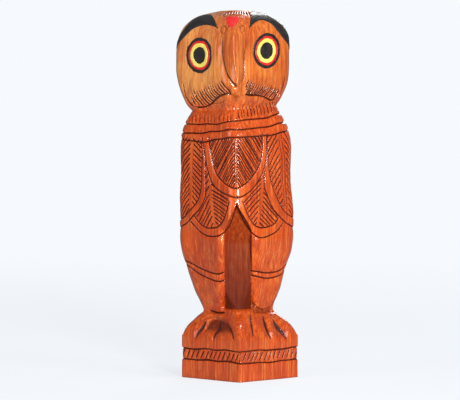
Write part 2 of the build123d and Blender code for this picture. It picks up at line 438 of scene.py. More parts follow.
def carve_body():
    """The grooves that run round the body, alike on the front and the back of the block."""
    for points in CHEST_GROOVES:
        outline_groove(both, points, 1.25, 0.85)
    breast_in, breast_out = closed(BREAST_INNER), closed(BREAST_OUTER)
    outline_groove(both, BREAST_INNER, 1.3, 0.95)
    outline_groove(both, BREAST_OUTER, 1.25, 0.85)
    for side, (angle, gap) in zip((-1, 1), BREAST_BARBS):
        barbs(both, [(-0.1, 168), (0, 134)], angle, gap, breast_in, start_off=1.0)
        both.add([(1.05 * side, 167), (0.9 * side, 134.5)], 0.9, 0.5, (2, 2))
    both.add([(0.1, 166), (0.0, 134.5)], 2.0, 0.3, (4, 2), 0.5)
    for side in (-1, 1):
        wing_in = closed(WING_INNER[side], (60 * side, 109), (60 * side, 175))
        wing_out = closed(WING_OUTER[side], (60 * side, 103), (60 * side, 175))
        for edge in (WING_INNER, WING_OUTER):
            outline_groove(both, edge[side], 1.2, 0.85)
        for angle, gap, shift, start_off in WING_BARBS[side]:
            barbs(both, [(x + shift, z) for x, z in WING_RIB[side]], angle, gap, wing_in,
                  start_off=start_off)
        if side > 0:
            for off in (-0.95, 0.95):
                both.add(curve([(x + off, z) for x, z in WING_RIB[side]]), 0.8, 0.45, (3, 2))
        thigh_in = closed(THIGH_INNER[side], *THIGH_HIDDEN[side])
        for edge in (THIGH_INNER, THIGH_OUTER):
            outline_groove(both, edge[side], 1.2, 0.85)
        for angle, gap in THIGH_BARBS[side]:
            barbs(both, THIGH_RIB[side], angle, gap, thigh_in, [breast_out, wing_out],
                  start_off=0.6)
    for points in LEG_GROOVES:
        outline_groove(both, points, 1.3, 0.9, (0, 2))


def carve_neck(lines):
    """Short upright strokes under the neck."""
    for p in np.arange(-38, 0, 2.75):
        p += jitter(0.3)
        lines.add([(p, 184.6 + jitter(0.8)), (p + jitter(0.3), 178.4)], 1.15, 0.6, (4, 0.8), 0.6)
    for p in np.arange(1.5, 40, 2.3):
        p += jitter(0.3)
        high = 183.8 + p * 0.11
        lines.add([(p, high + 3.2), (p + 1.5, high - 3.6)], 1.2, 0.8, (3, 0.8), 0.85)


def carve_plinth():
    """Two grooves round the plinth with slanting nicks between them."""
    upper = [(-44, 20.6), (-20, 20.9), (0, 21.2), (20, 20.7), (44, 20.6)]
    lower = [(-44, 13.0), (-20, 13.2), (0, 13.0), (20, 12.4), (44, 13.0)]
    outline_groove(both, upper, 1.35, 0.95)
    outline_groove(both, lower, 1.35, 0.95)
    for lines in (front, rear):
        for p in np.arange(-39.5, 40, 3.05):
            p += jitter(0.35)
            lines.add([(p + 1.3, 20.3), (p - 1.2, 13.7)], 1.25, 0.7, (1.0, 1.0))


FRINGE = (
    [(-34.0, 196.8), (-32.9, 193.6), (-31.2, 190.8)],
    [(-32.0, 200.8), (-31.2, 197.3), (-29.5, 194.2), (-25.6, 190.3)],
    [(-28.9, 200.2), (-26.9, 196.6), (-24.6, 194.2), (-21.6, 191.6)],
    [(-25.8, 201.6), (-24.3, 198.2), (-20.9, 195.0), (-18.0, 192.9)],
    [(-22.6, 203.2), (-21.2, 199.5), (-19.1, 196.9), (-15.6, 194.6)],
    [(-19.6, 204.2), (-18.0, 200.6), (-15.6, 197.9), (-13.0, 196.2)],
    [(-16.0, 204.9), (-14.1, 201.4), (-12.0, 198.9), (-9.8, 197.0)],
    [(-13.4, 206.8), (-11.4, 203.6), (-9.2, 200.9), (-6.9, 197.6)],
    [(6.5, 208.0), (5.1, 204.5), (4.2, 201.2)],
    [(8.6, 206.4), (7.2, 203.1), (5.6, 199.6), (4.7, 196.8)],
    [(11.0, 204.6), (9.2, 201.4), (7.1, 198.4), (6.0, 196.2)],
    [(14.2, 203.2), (12.0, 199.8), (9.8, 197.5), (7.6, 195.6)],
    [(17.4, 203.4), (16.2, 200.7), (14.0, 198.2), (10.8, 195.6)],
    [(20.0, 202.6), (18.5, 199.4), (15.8, 196.7), (13.4, 194.6)],
    [(22.4, 202.0), (21.2, 198.3), (19.2, 195.9), (16.9, 193.6)],
    [(25.1, 201.0), (24.0, 197.5), (22.2, 195.1), (20.3, 192.8)],
    [(27.1, 199.6), (26.0, 196.4), (24.5, 194.0), (22.9, 191.8)],
)
CHEEK_LINES = (
    [(-39.3, 205.5), (-38.7, 200.0), (-37.5, 195.0), (-35.7, 191.5), (-33.2, 189.3),
     (-29.8, 188.4), (-26.4, 189.0), (-23.3, 190.3), (-20.3, 191.5), (-17.8, 193.4),
     (-14.1, 196.0), (-10.4, 197.2), (-5.8, 197.2)],
    [(31.2, 210.5), (30.8, 204.7), (30.2, 200.5), (29.4, 196.9), (27.8, 193.9), (25.6, 192.2),
     (23.4, 191.3), (21.5, 191.2), (19.6, 192.3), (17.4, 193.4), (14.2, 194.7), (10.9, 195.7),
     (7.9, 195.9), (3.6, 196.7)],
)

FOREHEAD_NICKS = ((-9.3, 251.9), (-7.1, 252.3), (-5.1, 252.4), (-3.4, 252.5), (-1.4, 252.4),
                  (0.5, 252.3), (2.4, 251.8), (4.8, 251.3), (-11.6, 251.2), (7.0, 250.6))


def from_x(points):
    """Design points given as (x, z) on the part, as (p, z)."""
    points = np.asarray(points, float)
    return np.stack([points[:, 0] - block.axis(block.v_at(points[:, 1])), points[:, 1]], 1)


def even(points, count):
    """The same number of evenly spaced points along any smooth line."""
    line = curve(points, 0.3)
    at = distances(line)
    return points_at(line, at, np.linspace(0, at[-1], count))


def carve_face():
    """The cheek scallops with their fringe, the beak's mouth and the forehead's small marks."""
    for points in CHEEK_LINES:
        front.add(from_x(curve(points)), 1.7, 1.25, (7, 1))
    for points in FRINGE:
        front.add(from_x(curve(points, 0.6)), 1.5, 1.15, (4, 1.2))
    for one, other in zip(FRINGE, FRINGE[1:]):
        if one[0][0] * other[0][0] > 0:
            between = (even(one, 9) + even(other, 9)) / 2
            front.add(from_x(between), 1.05, 0.8, (3, 1.2), 0.85)
    # Shallow grooves along the beak's creases; their dark ink is painted shade as well as stain,
    # heavier on the -X side.
    for edge, ink in ((BEAK_LEFT, 0.8), (BEAK_RIGHT, 0.6)):
        front.add(curve(list(zip(edge, BEAK_Z))[1:6]), 1.0, 0.5, (1, 12), ink)
    front.add(from_x(curve([(-20.3, 191.2), (-15.3, 191.0), (-11.7, 192.2), (-8.0, 193.4)])),
              0.9, 0.35, (3, 3), 0.6)
    front.add(from_x(curve([(-8.8, 209.8), (-6.7, 207.4), (-4.9, 205.2), (-2.6, 203.6)], 0.5)),
              0.9, 0.5, (2, 1))
    for x, z in FOREHEAD_NICKS:
        v = block.v_at(np.array([z - 0.5, 253.7]))
        p = x - block.axis(v[0])
        u = np.array([p, p * 0.8 + 0.8 + jitter(0.4)]) * ROOT2
        front.add_unrolled(np.stack([u, v], 1), 1.5, 0.8, (0.8, 3.5))
    front.add(from_x(curve([(-11.5, 249.6), (-8.5, 251.0), (-6.0, 251.6), (-2.3, 251.4),
                            (0.8, 250.4), (3.2, 249.0)])), 1.0, 0.5, (2, 2))
    turn = np.linspace(0, 2 * np.pi, 22)
    for centre in unrolled([(-6.7, 241.7), (6.7, 242.2)]):
        ring = centre + np.stack([2.45 * np.cos(turn), 2.9 * np.sin(turn)], 1)
        front.add_unrolled(ring, 0.95, 0.5, ink=0.5)


# The open recess between the legs, seen square on: (x, z) in the part's own frame.
RECESS_LEFT, RECESS_RIGHT, RECESS_FLOOR, RECESS_SPRING = -10.6, 8.0, 48.6, 103.0
RECESS_APEX = (-2.5, 122.0)
WALL = 0.3

# How far the arrises beside the recess are worn back, by distance from its edge.
WORN_AT = (0.0, 1.0, 2.0, 2.8, 3.6, 4.5, 5.5)
WORN_BY = (4.9, 3.45, 2.2, 1.35, 0.67, 0.19, 0.0)

# The beak and the bridge above it: heights, then p of the ridge and of each edge.
BEAK_Z = (204.0, 207.0, 211.0, 220.0, 228.0, 237.0, 242.5, 250.5)
BEAK_RIDGE = (3.1, 2.9, 2.4, 1.2, 0.6, 0.0, 0.0, 0.0)
BEAK_LEFT = (1.6, -1.4, -3.6, -6.1, -7.2, -8.1, -9.9, -12.6)
BEAK_RIGHT = (4.4, 6.8, 7.9, 8.2, 9.3, 10.3, 11.4, 12.6)
BEAK_REACH = (40.25, 40.3, 40.3, 40.2, 40.1, 39.2, 37.2, 27.0)
BEAK_SCOOP = (1.8, 2.4, 3.0, 3.3, 3.0, 2.1, 1.0, 0.2)
BEAK_TIP = (3.0, 202.4)

FACE_X = -5.2
EYES = {"left": (-33.0, 223.6), "right": (33.6, 226.8)}
EYE_RINGS = (12.3, 10.1, 8.5, 5.8)
EYE_STRETCH = {"left": 1.03, "right": 1.08}
BROWS = {
    "left": ([(-42.6, 231.8), (-40.2, 234), (-37, 237.5), (-33.3, 242.2), (-29.3, 247.2),
              (-22.5, 251.0), (-14.4, 251.5)], (-9.9, 241.8),
             [(-12.7, 243.4), (-18.5, 244.4), (-24.6, 242.9), (-29.3, 240.0), (-34.3, 234.8),
              (-42.6, 227.6)]),
    "right": ([(42.6, 231), (41.6, 236), (38.6, 241.6), (34.5, 246.6), (27, 251), (19, 252.6),
               (12.8, 251.6)], (11.3, 241.8),
              [(13, 243.8), (16.5, 246.6), (21, 247.5), (26.5, 245.2), (31.2, 240.2),
               (36, 234), (42.6, 227.2)]),
}
FOREHEAD_MARK = [(-4.5, 249.4), (-1.4, 250.4), (4.1, 250.1), (4.0, 248.1), (2.6, 245.6),
                 (-1.4, 243.0), (-3.6, 246.1)]


def recess_edge(foot, z):
    """x of the recess's edge that stands at foot and leans in to the apex."""
    rise = np.clip((z - RECESS_SPRING) / (RECESS_APEX[1] - RECESS_SPRING), 0, 1) ** 1.25
    return foot + (RECESS_APEX[0] - foot) * rise


def recess_depth_inside(x, z):
    """Distance inside the recess's outline, negative outside it."""
    left, right = recess_edge(RECESS_LEFT, z), recess_edge(RECESS_RIGHT, z)
    top = np.where(z > RECESS_APEX[1], RECESS_APEX[1] - z, 99)
    return np.minimum(np.minimum(x - left, right - x), np.minimum(z - RECESS_FLOOR, top))


def tongue_height(p):
    """The rounded lower end of the +X leg, over the foot it is cut free from."""
    return 48.4 + np.where(p < 17.3, 0.12, 0.065) * (p - 17.3) ** 2


def beak_tip_height(p):
    """The V-shaped lower end of the beak."""
    return BEAK_TIP[1] + np.abs(p - BEAK_TIP[0]) * 0.78


def sharp_lines():
    """Edges that the mesh has to follow: recess, beak, plinth corners and paint outlines."""
    z = np.concatenate([np.arange(RECESS_FLOOR, RECESS_SPRING, 4.0),
                        np.linspace(RECESS_SPRING, RECESS_APEX[1], 10)])
    centre = block.axis(block.v_at(z))
    for foot, inward in ((RECESS_LEFT, 1), (RECESS_RIGHT, -1)):
        x = recess_edge(foot, z)
        for off in (0.0, WALL * inward):
            front_edges.sharp(np.stack([x - centre + off, z], 1))
        front_edges.sharp(np.stack([x - centre - 2.8 * inward, z], 1)[z < 104])
    for off in (0.0, WALL):
        front_edges.sharp([(RECESS_LEFT + 1.0, RECESS_FLOOR + off),
                           (RECESS_RIGHT + 1.0, RECESS_FLOOR + off)])
    for p in (BEAK_RIDGE[:-1], BEAK_LEFT, BEAK_RIGHT):
        front_edges.sharp(list(zip(p, BEAK_Z)))
    for off in (0.0, -0.3):
        p = np.linspace(-2.0, 7.5, 9)
        front_edges.sharp(np.stack([p, beak_tip_height(p) + off], 1))
    for off in (-0.5, 0.5):
        both_edges.sharp([(off, 0.6), (off, 29.2)])
        for side in (-1, 1):
            p = block.side(block.v_at(10.0)) / 2 * ROOT2 * side + off
            both_edges.sharp([(p, 0.6), (p, 29.2)])
    p = np.linspace(10.0, 25.5, 20)
    for off in (0.0, -0.5):
        front_edges.sharp(np.stack([p, tongue_height(p) + off], 1))
    for outline in paint_outlines().values():
        for part in outline:
            front_edges.add_unrolled(part, 0.0, 0.0)


def unrolled(points):
    """Points of the face, drawn about the line x = FACE_X, on the unrolled block."""
    p = np.asarray(points, float)
    v = block.v_at(p[:, 1])
    return np.stack([(p[:, 0] + FACE_X - block.axis(v)) * ROOT2, v], 1)


def circle(side, radius, wobble):
    """A hand-painted circle on a face of the head; wobble seeds its uneven edge."""
    centre = unrolled([(EYES[side][0] / ROOT2, EYES[side][1])])[0]
    turn = np.linspace(0, 2 * np.pi, 73)
    uneven = Ripple(wobble, 5.0)(radius * np.cos(turn), radius * np.sin(turn))
    r = radius + 0.16 * uneven
    return centre + np.stack([EYE_STRETCH[side] * r * np.cos(turn), r * np.sin(turn)], 1)


def paint_outlines():
    """Each coat of paint as closed outlines on the unrolled block; the second is a hole."""
    outlines = {"forehead_mark_paint": [unrolled(curve(FOREHEAD_MARK + FOREHEAD_MARK[:1], 0.5))]}
    for number, side in enumerate(("left", "right")):
        top, tip, lower = BROWS[side]
        edge = np.vstack([curve(top, 1.0), curve([tip] + lower, 1.0), [top[0]]])
        outlines[f"brow_paint_{side}"] = [unrolled(edge)]
        rings = [circle(side, r, 40 + 10 * number + k) for k, r in enumerate(EYE_RINGS)]
        for k, name in enumerate(("eye_rim", "red_ring", "iris", "pupil")):
            outlines[f"{name}_paint_{side}"] = rings[k:k + 2]
    return outlines


TOE_CUTS = (
    ([(-22.7, 40.2), (-26.4, 35.2), (-28.6, 32.2), (-31.0, 27.0)], 3.4, 2.4),
    ([(-14.6, 42.6), (-16.3, 36.0), (-18.0, 31.8), (-19.2, 26.8)], 3.8, 2.8),
    ([(-9.6, 41.0), (-6.9, 36.0), (-5.4, 31.5), (-4.9, 27.8)], 2.4, 1.5),
    ([(7.2, 46.2), (8.0, 41.5), (8.8, 35.1), (8.9, 28.6)], 2.2, 1.6),
    ([(15.7, 44.2), (18.6, 36.4), (21.0, 31.0), (22.0, 27.4)], 3.6, 2.7),
    ([(23.2, 40.8), (27.2, 35.6), (30.8, 30.2), (33.0, 26.0)], 4.6, 3.4),
)


def carve_toe(lines, points, width, depth):
    """One V cut between two toes: shallow shoulders with a deep leaf-shaped cut between."""
    points = curve(points, 0.8)
    t = np.linspace(0, 1, len(points))
    swell = np.clip(np.sin(np.pi * t**0.8), 0.1, 1)
    lines.add(points, width * swell, depth * swell, ink=0.8)
    lines.add(points, width * 2.6 * swell, depth * 0.6 * swell, ink=0.2)


def carve_feet():
    """The V cuts between the toes, the arch over them and the marks at the ankles."""
    for points, width, depth in TOE_CUTS:
        carve_toe(front, from_x(points), width, depth)
    front.add(from_x(curve([(-25.5, 40.2), (-23.7, 41.6), (-15.8, 43.1), (-11.5, 42.1),
                            (-8.2, 38.6), (-6.3, 33.5)])), 2.2, 0.7, (3, 4), 0.3)
    front.add(from_x(curve([(-22, 46.6), (-16, 46.0), (-10.5, 46.4)])), 1.3, 0.8, (3, 2))
    for side in (-1, 1):
        for p, z, lean in ((11, 43, 2.4), (19, 41.5, 4.5), (27, 39, 6.5)):
            points = [(p * side, z), ((p + lean * 0.4) * side, 36), ((p + lean) * side, 27.5)]
            carve_toe(rear, points, 3.6, 2.5)


def carve_tail():
    """A long tail feather down the back, in the place that the recess has in front."""
    outer = [(-9.5, 124), (-9.8, 100), (-8.6, 72), (-5.2, 60), (0, 55.5), (5.2, 60), (8.6, 72),
             (9.8, 100), (9.5, 124)]
    inner = [(x * 0.76, z + (2.6 if z < 70 else 0.0)) for x, z in outer]
    outline_groove(rear, outer, 1.3, 0.95)
    outline_groove(rear, inner, 1.1, 0.7)
    region = closed(inner)
    for side in (-1, 1):
        barbs(rear, [(0, 122), (0, 58)], 52 * side, 3.6, region, start_off=1.0)
        rear.add([(0.85 * side, 123), (0.7 * side, 60)], 0.9, 0.5, (1, 2))


def overlapping_fields():
    """How far each feather stands proud, as (height, outline) from the lowest layer up, and
    the outlines of the barbed areas, which are cut a little lower."""
    def laid_out(points, *extra):
        return on_block(closed(points, *extra))

    raised, sunk = [], []
    for side in (-1, 1):
        raised.append((0.0, laid_out(THIGH_OUTER[side], (-10 * side, 150), (-34 * side, 150))))
    for side in (-1, 1):
        raised.append((0.2, laid_out(WING_OUTER[side], (70 * side, 100), (70 * side, 172),
                                     (22 * side, 172))))
        sunk.append(laid_out(WING_INNER[side], (70 * side, 109), (70 * side, 172)))
    raised.append((0.38, laid_out(BREAST_OUTER)))
    raised.append((0.52, laid_out(CHEST_GROOVES[2], (70, 173), (70, 200), (-70, 200), (-70, 166))))
    sunk.append(laid_out(BREAST_INNER))
    return raised, sunk


carve_body()
carve_neck(both)
carve_plinth()
carve_face()
carve_feet()
carve_tail()
sharp_lines()
for lines in (both, front, rear, both_edges, front_edges):
    lines.build()


# ---- shaping the surface ------------------------------------------------------------------
raised_fields, sunk_fields = overlapping_fields()
roll = Ripple(11, 30.0)
facet = Ripple(12, 8.0)
tool = Ripple(13, 3.2)

BARBS_SUNK = 0.35
LIP_ROUNDING, LIP_REACH = 0.16, 0.55
BAND_EDGES, BAND_DEPTH = (12.8, 13.4, 20.4, 21.0), 0.5
ARCH_CENTRE, ARCH_RADII, ARCH_DEPTH = (-16, 26), (10.6, 17.0), 2.0
TONGUE_DEPTH = 1.9
SOCKET_DEPTH, SOCKET_RADII = 0.55, (19, 11)
BEAK_FOOT, BEAK_HOLLOW, CREASE_WIDTH = 200, 0.5, 1.1

# The cheeks' lower edge, as z by p, and the hollows beside the beak: p, z, width, height,
# depth and how much painted shade lies in them.
CHEEK_P = (-33, -27.5, -20, -14, -8.5, -2, 2, 4.5, 11, 17, 22.5, 28.5, 34)
CHEEK_Z = (196, 189.5, 189.4, 192.2, 196.2, 197.2, 196, 195.2, 196.6, 196, 192.7, 190.8, 196)
COLLAR_DEPTH = 1.1
FACE_HOLLOWS = ((1.9, 193.0, 2.2, 4.2, 2.2, 0.5), (-3.0, 199.0, 2.2, 3.4, 2.0, 0.25),
                (6.6, 200.0, 2.4, 3.6, 2.2, 0.25))

# How deep the recess's floor lies, as y by height, and how much painted shade lies there.
FLOOR_AT, FLOOR_Y = (RECESS_FLOOR, RECESS_SPRING - 8, RECESS_APEX[1]), (-20, -20.5, -32.5)
GLOOM_AT, GLOOM = (RECESS_FLOOR, 75, 104, 118), (1.0, 0.86, 0.6, 0.5)


def unroll(s, v):
    """Distance along the surface from the front corner, and from the back corner."""
    side = block.side(v)
    ahead = s * side
    behind = np.where(s > 0, s - 2, s + 2) * side
    return ahead, behind, np.abs(s) <= 1


def look_all(s, v):
    """The carving's lines at each point, from the layouts of both halves of the block."""
    ahead, behind, is_front = unroll(s, v)
    folded = np.where(is_front, ahead, -behind)
    flip = np.where(is_front, 1, -1)
    depth, ink, near, move, gap = both.look(folded, v)
    move[:, 0] *= flip
    everywhere = np.full(len(s), True)
    for lines, u, mask, turn in ((front, ahead, is_front, 1), (rear, behind, ~is_front, 1),
                                 (both_edges, folded, everywhere, flip),
                                 (front_edges, ahead, is_front, 1)):
        rows = np.flatnonzero(mask)
        if not len(rows):
            continue
        d, i, n, m, g = lines.look(u[rows], v[rows])
        m[:, 0] *= turn
        depth[rows] = np.maximum(depth[rows], d)
        ink[rows] = np.maximum(ink[rows], i)
        near[rows] = np.minimum(near[rows], n)
        better = g < np.where(lines.wander, gap[rows], 2 * gap[rows])
        move[rows[better]] = m[better]
        gap[rows[better]] = g[better]
    return depth, ink, near, move, gap


def feather_layers(s, v, z, near):
    """The overlapping feathers' heights; each step between them lies in a groove."""
    level = np.zeros(len(s))
    rows = np.flatnonzero((z > 96) & (z < NECK_Z))
    if not len(rows):
        return level
    ahead, behind, is_front = unroll(s[rows], v[rows])
    at = np.stack(both.warped(np.where(is_front, ahead, -behind), v[rows]), 1)
    part = np.zeros(len(rows))
    for height, outline in raised_fields:
        part = np.where(inside(at, outline), height, part)
    for outline in sunk_fields:
        part -= BARBS_SUNK * inside(at, outline)
    part = part * smoothstep(NECK_Z - 2, NECK_Z - 7, z[rows])
    level[rows] = 0.1 + (part - 0.1) * np.clip(0.35 + near[rows] / 0.5, 0, 1)
    return level


def foot_arch(x, z, is_front):
    """Where the wood is hollowed over the -X foot, 0 to 1."""
    across, up = (x - ARCH_CENTRE[0]) / ARCH_RADII[0], (z - ARCH_CENTRE[1]) / ARCH_RADII[1]
    arch = smoothstep(1.1, 0.9, across**2 + up**2)
    return arch * smoothstep(29.8, 37, z) * is_front * (z < ANKLE_Z)


def under_tongue(pu, z, is_front):
    """Where the wood is cut back under the end of the +X leg, 0 to 1."""
    cut_back = np.clip((tongue_height(pu) - z) / 0.5, 0, 1) * (z > ANKLE_Z)
    return cut_back * smoothstep(9.6, 10.6, pu) * smoothstep(25.5, 23.5, pu) * is_front


def face_lift(pu, u, z, is_front):
    """The collar under the cheeks, the hollows beside the beak and the eye sockets, with the
    painted shade in the hollows."""
    under = is_front * smoothstep(0.9, -0.9, z - np.interp(pu, CHEEK_P, CHEEK_Z))
    under = under * smoothstep(NECK_Z - 1.5, NECK_Z + 1.5, z) * smoothstep(35, 29, np.abs(pu))
    lift = -COLLAR_DEPTH * under
    dark = np.zeros(len(z))
    for at_p, at_z, wide, tall, deep, shade in FACE_HOLLOWS:
        spot = is_front * np.exp(-(((pu - at_p) / wide) ** 2) - ((z - at_z) / tall) ** 2)
        lift -= deep * spot
        dark = np.maximum(dark, shade * spot)
    for eye_u, eye_z in EYES.values():
        lift -= is_front * SOCKET_DEPTH * smoothstep(*SOCKET_RADII, np.hypot(u - eye_u, z - eye_z))
    return lift, dark


def with_beak(y, z, pu, side, depth, is_front):
    """y with the beak and bridge on it, two flanks from a sharp ridge down to a crease on each
    side, and the painted shade along each crease, heavier on the -X side."""
    ridge, left, right, reach, scoop = (np.interp(z, BEAK_Z, values) for values in (
        BEAK_RIDGE, BEAK_LEFT, BEAK_RIGHT, BEAK_REACH, BEAK_SCOOP))
    on_left = pu < ridge
    edge = np.where(on_left, left, right)
    t = np.clip((pu - ridge) / (edge - ridge), 0, 1)
    crease_y = -(side / ROOT2 - np.abs(edge)) + scoop
    flank = -reach * (1 - t) + crease_y * t - BEAK_HOLLOW * np.sin(np.pi * t)
    outside = np.maximum(np.abs(pu - ridge) - np.abs(edge - ridge), 0)
    head_front = is_front * smoothstep(BEAK_FOOT, BEAK_FOOT + 4, z)
    face_y = y + scoop * np.exp(-((outside / 6.5) ** 1.4)) * head_front
    tip = np.clip((z - beak_tip_height(pu)) / 0.3 + 1, 0, 1)
    on_beak = (outside <= 0) * (tip * smoothstep(249.5, 242, z)) * is_front * (z > BEAK_FOOT)
    y = np.where(z > BEAK_FOOT, face_y * (1 - on_beak) + (flank + depth) * on_beak, y)
    # Painted shade along the creases, heavier on the -X side.
    crease = np.exp(-(((pu - edge) / CREASE_WIDTH) ** 2)) * head_front * smoothstep(241, 230, z)
    return y, crease * np.where(on_left, 0.4, 0.3) * (z > 203)


def with_recess(x, y, z, is_front):
    """y with the recess between the legs sunk in it and the legs' edges worn round; also where
    it is sunk, 0 to 1, and how much painted shade lies in there."""
    e = recess_depth_inside(x, z)
    low_front = is_front * (z < RECESS_APEX[1] + 6) * (z > PLINTH_TOP)
    worn = np.interp(-e, WORN_AT, WORN_BY) * smoothstep(112, 98, z) * smoothstep(46, 51, z)
    y = y + worn * low_front
    floor_y = np.interp(z, FLOOR_AT, FLOOR_Y)
    floor_y = floor_y + 0.16 * facet(x * 1.7, z) + 0.06 * tool(x, z * 0.4)
    sunk = np.clip(e / WALL, 0, 1) * low_front
    y = y * (1 - sunk) + np.maximum(floor_y, y) * sunk
    return y, sunk, sunk * np.interp(z, GLOOM_AT, GLOOM)


def shape(s, v, depth, ink, near):
    """The finished surface in mm, with how dark the groove stain and painted shade lie at each
    point, where the recess is sunk and how much painted shade lies there."""
    p, y, z, normal = block.place(s, v)
    side = block.side(v)
    is_front = np.abs(s) <= 1
    u = s * side
    pu = u / ROOT2
    x = p + block.axis(v)
    lift = -depth - LIP_ROUNDING * np.exp(-near / LIP_REACH)
    lift -= BAND_DEPTH * np.interp(z, BAND_EDGES, (0, 1, 1, 0))
    lift += feather_layers(s, v, z, near)
    arch = foot_arch(x, z, is_front)
    lift -= ARCH_DEPTH * arch
    calm = smoothstep(PLINTH_TOP - 2, PLINTH_TOP + 6, z)
    lift += (0.30 * roll(u, v) + 0.07 * facet(u, v)) * (0.25 + 0.75 * calm)
    face, hollow = face_lift(pu, u, z, is_front)
    cut_back = under_tongue(pu, z, is_front)
    lift += face - TONGUE_DEPTH * cut_back

    x, y, z_out = x + normal[:, 0] * lift, y + normal[:, 1] * lift, z + normal[:, 2] * lift
    y, crease = with_beak(y, z, pu, side, depth, is_front)
    y, sunk, gloom = with_recess(x, y, z, is_front)
    # Groove stain (ink), with painted shadow under the +X leg's end and painted shade in the
    # hollows beside the beak, along its creases and over the -X foot's arch.
    shade = np.maximum.reduce([ink, 0.45 * cut_back, hollow, crease, 0.55 * arch])
    return np.stack([x, y, z_out + neck_shear(x, z_out)], 1), np.clip(shade, 0, 1), sunk, gloom


# ---- the mesh -----------------------------------------------------------------------------
AROUND = 112
ROW = 1.8
FINE, MIDDLE, COARSE = 0.66, 1.15, 2.6


def first_grid():
    """A ring-by-ring grid of near-equilateral triangles from the underside to the crown."""
    total = block.v[-1]
    keep = [0.0, block.v[1], *block.v_at(np.array([29.1, PLINTH_TOP, ANKLE_Z, NECK_Z])), total]
    rows = []
    for a, b in zip(keep, keep[1:]):
        pitch = 5.0 if a == 0.0 else ROW
        rows += list(np.linspace(a, b, max(1, round((b - a) / pitch)), endpoint=False))
    rows = np.array(rows[1:] + [total - 1.2])
    s, v = [], []
    for k, at in enumerate(rows):
        s.append((np.arange(AROUND) + 0.5 * (k % 2)) / AROUND * 4 - 2)
        v.append(np.full(AROUND, at))
    tris = []
    i = np.arange(AROUND)
    j = (i + 1) % AROUND
    for k in range(len(rows) - 1):
        a, b = k * AROUND, (k + 1) * AROUND
        if k % 2:
            tris += [np.stack([a + i, a + j, b + j], 1), np.stack([a + i, b + j, b + i], 1)]
        else:
            tris += [np.stack([a + i, a + j, b + i], 1), np.stack([a + j, b + j, b + i], 1)]
    count = len(rows) * AROUND
    last = (len(rows) - 1) * AROUND
    tris.append(np.stack([np.full(AROUND, count), j, i], 1))
    tris.append(np.stack([np.full(AROUND, count + 1), last + i, last + j], 1))
    s = np.concatenate(s + [[0.0, 0.0]])
    v = np.concatenate(v + [[0.0, total]])
    return s, v, np.vstack(tris)


def wrap(s):
    return (s + 2) % 4 - 2


def middle(s, v, a, b):
    """Halfway points, round the seam at the back."""
    sa = np.where(is_pole(v, a), s[b], s[a])
    sb = np.where(is_pole(v, b), s[a], s[b])
    return wrap(sa + wrap(sb - sa) / 2), (v[a] + v[b]) / 2


def is_pole(v, index):
    """True for the middle of the underside and of the crown, where every s meets."""
    return (v[index] <= 0) | (v[index] >= block.v[-1])


def edges_of(tris):
    """The edges of a mesh, the three of each triangle, and how many triangles share each."""
    pairs = np.sort(np.concatenate([tris[:, [0, 1]], tris[:, [1, 2]], tris[:, [2, 0]]]), axis=1)
    edges, which, shared = np.unique(pairs, axis=0, return_inverse=True, return_counts=True)
    return edges, which.reshape(3, -1).T, shared


def refine(s, v, tris, rounds):
    """Splits the edges that are long for what is carved there, keeping the mesh whole."""
    for _ in range(rounds):
        depth, ink, near, _, _ = look_all(s, v)
        points, _, sunk, _ = shape(s, v, depth, ink, near)
        edges, sides, _ = edges_of(tris)
        a, b = edges.T
        length = np.linalg.norm(points[a] - points[b], axis=1)
        close = np.minimum(near[a], near[b])
        target = np.where(close < 0.75, FINE, np.where(close < 1.9, MIDDLE, COARSE))
        target = np.where(np.abs(sunk[a] - sunk[b]) > 0.3, 1.6, target)
        marked = (length > target) & ~(is_pole(v, a) | is_pole(v, b))
        if not marked.any():
            break
        new = np.full(len(edges), -1)
        new[marked] = len(s) + np.arange(marked.sum())
        ms, mv = middle(s, v, a[marked], b[marked])
        s, v = np.concatenate([s, ms]), np.concatenate([v, mv])
        tris = split(tris, new[sides], points, s, v)
    return s, v, tris


def split(tris, mids, points, s, v):
    """Cuts each triangle at the midpoints of its marked sides."""
    out = []
    marks = mids >= 0
    count = marks.sum(1)
    out.append(tris[count == 0])
    three = count == 3
    a, b, c = tris[three].T
    ab, bc, ca = mids[three].T
    out += [np.stack(t, 1) for t in ((a, ab, ca), (ab, b, bc), (ca, bc, c), (ab, bc, ca))]
    for k in range(3):
        order = [k, (k + 1) % 3, (k + 2) % 3]
        one = (count == 1) & marks[:, k]
        a, b, c = tris[one][:, order].T
        m = mids[one, k]
        out += [np.stack([a, m, c], 1), np.stack([m, b, c], 1)]
        two = (count == 2) & ~marks[:, (k + 2) % 3]
        a, b, c = tris[two][:, order].T
        ab, bc = mids[two, k], mids[two, (k + 1) % 3]
        out.append(np.stack([ab, b, bc], 1))
        mid_ab, mid_bc = (points[a] + points[b]) / 2, (points[b] + points[c]) / 2
        first = np.linalg.norm(mid_ab - points[c], axis=1)
        second = np.linalg.norm(mid_bc - points[a], axis=1)
        short = first < second
        out += [np.stack([a, ab, c], 1)[short], np.stack([ab, bc, c], 1)[short]]
        out += [np.stack([a, ab, bc], 1)[~short], np.stack([a, bc, c], 1)[~short]]
    return np.vstack(out)


def snap(s, v, tris, reach):
    """Moves points onto the groove bottoms, lips and sharp lines that they nearly lie on."""
    _, _, _, move, gap = look_all(s, v)
    use = (gap < reach) & ~is_pole(v, np.arange(len(v)))
    side = np.maximum(block.side(v), 1)
    for _ in range(6):
        ns = np.where(use, wrap(s + move[:, 0] / side), s)
        nv = np.where(use, v + move[:, 1], v)
        before, after = flat_area(s, v, tris), flat_area(ns, nv, tris)
        bad = (after < before * 0.12) & (before > 0)
        if not bad.any():
            break
        use[np.unique(tris[bad])] = False
    return np.where(use, ns, s), np.where(use, nv, v)


def flat_area(s, v, tris):
    a, b, c = tris.T
    side = block.side(v[a])
    ux, uy = wrap(s[b] - s[a]) * side, v[b] - v[a]
    wx, wy = wrap(s[c] - s[a]) * side, v[c] - v[a]
    return (ux * wy - uy * wx) / 2


